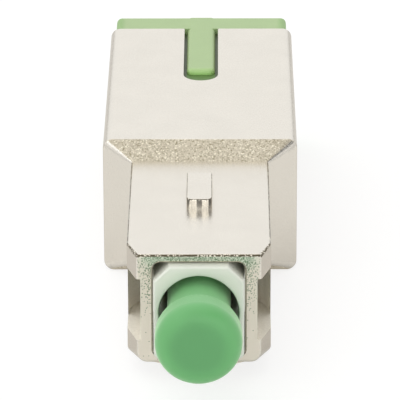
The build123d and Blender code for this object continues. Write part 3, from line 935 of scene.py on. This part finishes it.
class ATTENUATOR_OT_dust_cap(bpy.types.Operator):
    """Finish the soft green dust cap"""

    bl_idname = "attenuator.dust_cap"
    bl_label = "Dust Cap"

    def execute(self, context):
        settings = context.scene.attenuator_plastics
        material, tree, shader, tinted = moulded_plastic(
            "soft green polyethylene", settings.cap, settings, roughness=0.42, cloudiness=0.04
        )
        translucent(shader, share=0.2, depth=0.6 * MM)
        # Painted shade: the middle of the end is drawn a deeper green, so that the rounded rim looks
        # lighter round it
        point = add_node(tree, "ShaderNodeTexCoord").outputs["Object"]
        flat = add_node(
            tree, "ShaderNodeVectorMath", operation="MULTIPLY", values={1: (1, 0, 1)}, links={0: point}
        )
        spread = add_node(tree, "ShaderNodeVectorMath", operation="LENGTH", links={0: flat.outputs[0]})
        middle = add_node(
            tree, "ShaderNodeMapRange", interpolation_type="SMOOTHSTEP",
            values={1: settings.middle_radius, 2: settings.rim_radius, 3: 1.0, 4: 0.0},
            links={0: spread.outputs["Value"]},
        )
        position = add_node(tree, "ShaderNodeSeparateXYZ", links={0: point})
        end = add_node(
            tree, "ShaderNodeMath", operation="LESS_THAN", values={1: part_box("dust_cap")[0].y + MM},
            links={0: position.outputs["Y"]},
        )
        middle = add_node(
            tree, "ShaderNodeMath", operation="MULTIPLY", links={0: middle.outputs[0], 1: end.outputs[0]}
        )
        deepened = add_node(
            tree, "ShaderNodeMix", data_type="RGBA", blend_type="MULTIPLY",
            values={7: rgba(settings.cap_middle_shade)}, links={0: middle.outputs[0], 6: tinted},
        )
        tree.links.new(deepened.outputs[2], shader.inputs["Base Color"])
        # Light that grazes the soft skin turns the cap's sides a lighter green
        shader.inputs["Sheen Weight"].default_value = 0.8
        shader.inputs["Sheen Roughness"].default_value = 0.4
        shader.inputs["Sheen Tint"].default_value = (0.75, 1.0, 0.7, 1.0)
        dress("dust_cap", material)
        return {"FINISHED"}


class ATTENUATOR_OT_stage(bpy.types.Operator):
    """Lay the pale floor, light it softly and set the camera"""

    bl_idname = "attenuator.stage"
    bl_label = "Stage"

    def execute(self, context):
        settings = context.scene.attenuator_stage
        scene = context.scene
        scene.view_settings.view_transform = "Standard"
        low = CAD_BOX[0]

        # Matt white paper: white to the camera and in reflections, yet it keeps the shadow
        paper = bpy.data.materials.new("matt white paper")
        paper.use_nodes = True
        tree = paper.node_tree
        tree.nodes.clear()
        seen = add_node(tree, "ShaderNodeLightPath")
        direct = seen.outputs["Is Camera Ray"]
        for ray in ("Is Glossy Ray", "Is Transmission Ray"):
            direct = add_node(
                tree, "ShaderNodeMath", operation="MAXIMUM", links={0: direct, 1: seen.outputs[ray]}
            ).outputs[0]
        lit = add_node(tree, "ShaderNodeBsdfDiffuse", values={"Color": rgba(settings.floor)})
        bounce = (0.8, 0.8, 0.8, 1)
        plain = add_node(tree, "ShaderNodeBsdfDiffuse", values={"Color": bounce})

        # In reflections the sheet fades out a hand's breadth away
        fade_starts, fade_ends, far_tone = 0.05, 0.14, 0.45
        spot = add_node(tree, "ShaderNodeTexCoord")
        away = add_node(
            tree, "ShaderNodeVectorMath", operation="LENGTH", links={0: spot.outputs["Object"]}
        )
        sheet = add_node(
            tree, "ShaderNodeMapRange", values={1: fade_starts, 2: fade_ends, 3: 1.0, 4: far_tone},
            links={0: away.outputs["Value"]},
        )
        whole = add_node(
            tree, "ShaderNodeMath", operation="MAXIMUM",
            links={0: sheet.outputs[0], 1: seen.outputs["Is Camera Ray"]},
        )
        brightness = 1.08
        strength = add_node(
            tree, "ShaderNodeMath", operation="MULTIPLY", values={1: brightness},
            links={0: whole.outputs[0]},
        )
        glow = add_node(tree, "ShaderNodeEmission", links={"Strength": strength.outputs[0]})
        # The share of the even glow over the lit paper, in reflections and to the camera
        mirrored_share, seen_share = 0.25, 0.7
        evenness = add_node(
            tree, "ShaderNodeMapRange", values={3: mirrored_share, 4: seen_share},
            links={0: seen.outputs["Is Camera Ray"]},
        )
        share = add_node(
            tree, "ShaderNodeMixShader",
            links={0: evenness.outputs[0], 1: lit.outputs[0], 2: glow.outputs[0]},
        )
        chosen = add_node(
            tree, "ShaderNodeMixShader",
            links={0: direct, 1: plain.outputs[0], 2: share.outputs[0]},
        )
        add_node(tree, "ShaderNodeOutputMaterial", links={"Surface": chosen.outputs[0]})

        mesh = bpy.data.meshes.new("floor")
        half = settings.floor_size / 2
        corners = [(-half, -half), (half, -half), (half, half), (-half, half)]
        mesh.from_pydata([(x, y, low.z) for x, y in corners], [], [(0, 1, 2, 3)])
        mesh.materials.append(paper)
        floor = bpy.data.objects.new("floor", mesh)
        scene.collection.objects.link(floor)

        # White light tent, with a dim opening at the front on the right that the plug's facets mirror.
        # The limits of the opening are cosines of the angle from its middle.
        rim, heart, opening_tone = 0.86, 0.96, 0.1
        world = bpy.data.worlds.new("white surround")
        world.use_nodes = True
        scene.world = world
        tree = world.node_tree
        tree.nodes.clear()
        seen = add_node(tree, "ShaderNodeLightPath")
        sky = add_node(tree, "ShaderNodeTexCoord")
        facing = add_node(
            tree, "ShaderNodeVectorMath", operation="DOT_PRODUCT",
            values={1: Vector(TENT_OPENING).normalized()}, links={0: sky.outputs["Generated"]},
        )
        opening = add_node(
            tree, "ShaderNodeMapRange", interpolation_type="SMOOTHSTEP",
            values={1: rim, 2: heart, 3: 1.0, 4: opening_tone}, links={0: facing.outputs["Value"]},
        )

        # The tent is dim at the table, white round its walls and warmer overhead. Places on the ramp are
        # heights, from 0 at the table to 1 overhead.
        below, overhead, crown = (0.5, 0.49, 0.47, 1), (0.75, 0.73, 0.68, 1), (0.78, 0.77, 0.74, 1)
        white = (1, 1, 1, 1)
        upward = add_node(tree, "ShaderNodeSeparateXYZ", links={0: sky.outputs["Generated"]})
        walls = add_node(tree, "ShaderNodeValToRGB", links={0: upward.outputs["Z"]})
        ramp = walls.color_ramp
        ramp.elements[0].position = 0.02
        ramp.elements[0].color = below
        ramp.elements[1].position = 1.0
        ramp.elements[1].color = crown
        for place, tone in ((0.14, white), (0.66, white), (0.8, overhead)):
            ramp.elements.new(place).color = tone
        tent = add_node(
            tree, "ShaderNodeVectorMath", operation="SCALE",
            links={0: walls.outputs["Color"], "Scale": opening.outputs[0]},
        )
        tent = add_node(
            tree, "ShaderNodeVectorMath", operation="SCALE", values={"Scale": settings.surround},
            links={0: tent.outputs[0]},
        )
        tone = add_node(
            tree, "ShaderNodeMix", data_type="RGBA", values={7: white},
            links={0: seen.outputs["Is Camera Ray"], 6: tent.outputs[0]},
        )
        light = add_node(tree, "ShaderNodeBackground", links={"Color": tone.outputs[2]})
        add_node(tree, "ShaderNodeOutputWorld", links={"Surface": light.outputs[0]})

        # Soft lamps: high behind on the left, small in front on the left, low on the right and in front.
        # Each has its name, the disc's diameter, its power and its place.
        middle = Vector(LIT_MIDDLE)
        for name, size, power, place in (
            ("soft lamp", 0.6, settings.lamp, (-0.12, 0.12, 0.42)),
            ("side lamp", 0.07, settings.side_lamp, (-0.28, -0.17, 0.22)),
            ("fill lamp", 0.25, settings.fill_lamp, (0.3, -0.3, 0.12)),
            ("front lamp", 0.09, settings.front_lamp, (0.0, -0.3, 0.035)),
        ):
            lamp = bpy.data.lights.new(name, "AREA")
            lamp.shape = "DISK"
            lamp.size = size
            lamp.energy = power
            source = bpy.data.objects.new(name, lamp)
            scene.collection.objects.link(source)
            source.location = place
            aim = middle - source.location
            source.rotation_euler = aim.to_track_quat("-Z", "Y").to_euler()

        # Camera fitted to the photo, about 236 mm away
        camera = bpy.data.cameras.new("camera")
        camera.lens = CAMERA_LENS
        camera.sensor_width = CAMERA_SENSOR
        camera.clip_start = 0.01
        camera.clip_end = 10
        viewer = bpy.data.objects.new("camera", camera)
        scene.collection.objects.link(viewer)
        elevation = math.radians(CAMERA_ELEVATION)
        yaw = math.radians(CAMERA_YAW)
        roll = math.radians(CAMERA_ROLL)
        forward = Vector((
            math.sin(yaw) * math.cos(elevation),
            math.cos(yaw) * math.cos(elevation),
            -math.sin(elevation),
        ))
        level = Vector((math.cos(yaw), -math.sin(yaw), 0))
        upright = level.cross(forward)
        right = level * math.cos(roll) + upright * math.sin(roll)
        above = upright * math.cos(roll) - level * math.sin(roll)
        turn = Matrix((right, above, -forward)).transposed().to_4x4()
        viewer.matrix_world = Matrix.Translation(Vector(CAMERA_PLACE) * MM) @ turn
        scene.camera = viewer
        return {"FINISHED"}


OPERATORS = (
    ATTENUATOR_OT_metal_shell,
    ATTENUATOR_OT_green_port,
    ATTENUATOR_OT_white_pieces,
    ATTENUATOR_OT_optics,
    ATTENUATOR_OT_ferrule_spring,
    ATTENUATOR_OT_dust_cap,
    ATTENUATOR_OT_stage,
)


class ATTENUATOR_PT_sidebar(bpy.types.Panel):
    """Lists the attenuator's pieces and stage"""

    bl_idname = "ATTENUATOR_PT_sidebar"
    bl_label = "Fibre Optic Attenuator"
    bl_space_type = "VIEW_3D"
    bl_region_type = "UI"
    bl_category = "Attenuator"

    def draw(self, context):
        layout = self.layout
        for operator in OPERATORS:
            layout.operator(operator.bl_idname)
        for name, group in GROUPS.items():
            box = layout.box()
            box.label(text=group.__doc__)
            for key in group.__annotations__:
                box.prop(getattr(context.scene, name), key)


CLASSES = (*GROUPS.values(), *OPERATORS, ATTENUATOR_PT_sidebar)


def register():
    for item in CLASSES:
        bpy.utils.register_class(item)
    for name, group in GROUPS.items():
        setattr(bpy.types.Scene, name, PointerProperty(type=group))


def unregister():
    for name in GROUPS:
        delattr(bpy.types.Scene, name)
    for item in reversed(CLASSES):
        bpy.utils.unregister_class(item)


def main():
    register()
    for operator in OPERATORS:
        family, name = operator.bl_idname.split(".")
        getattr(getattr(bpy.ops, family), name)()


if __name__ == "__main__":
    main()
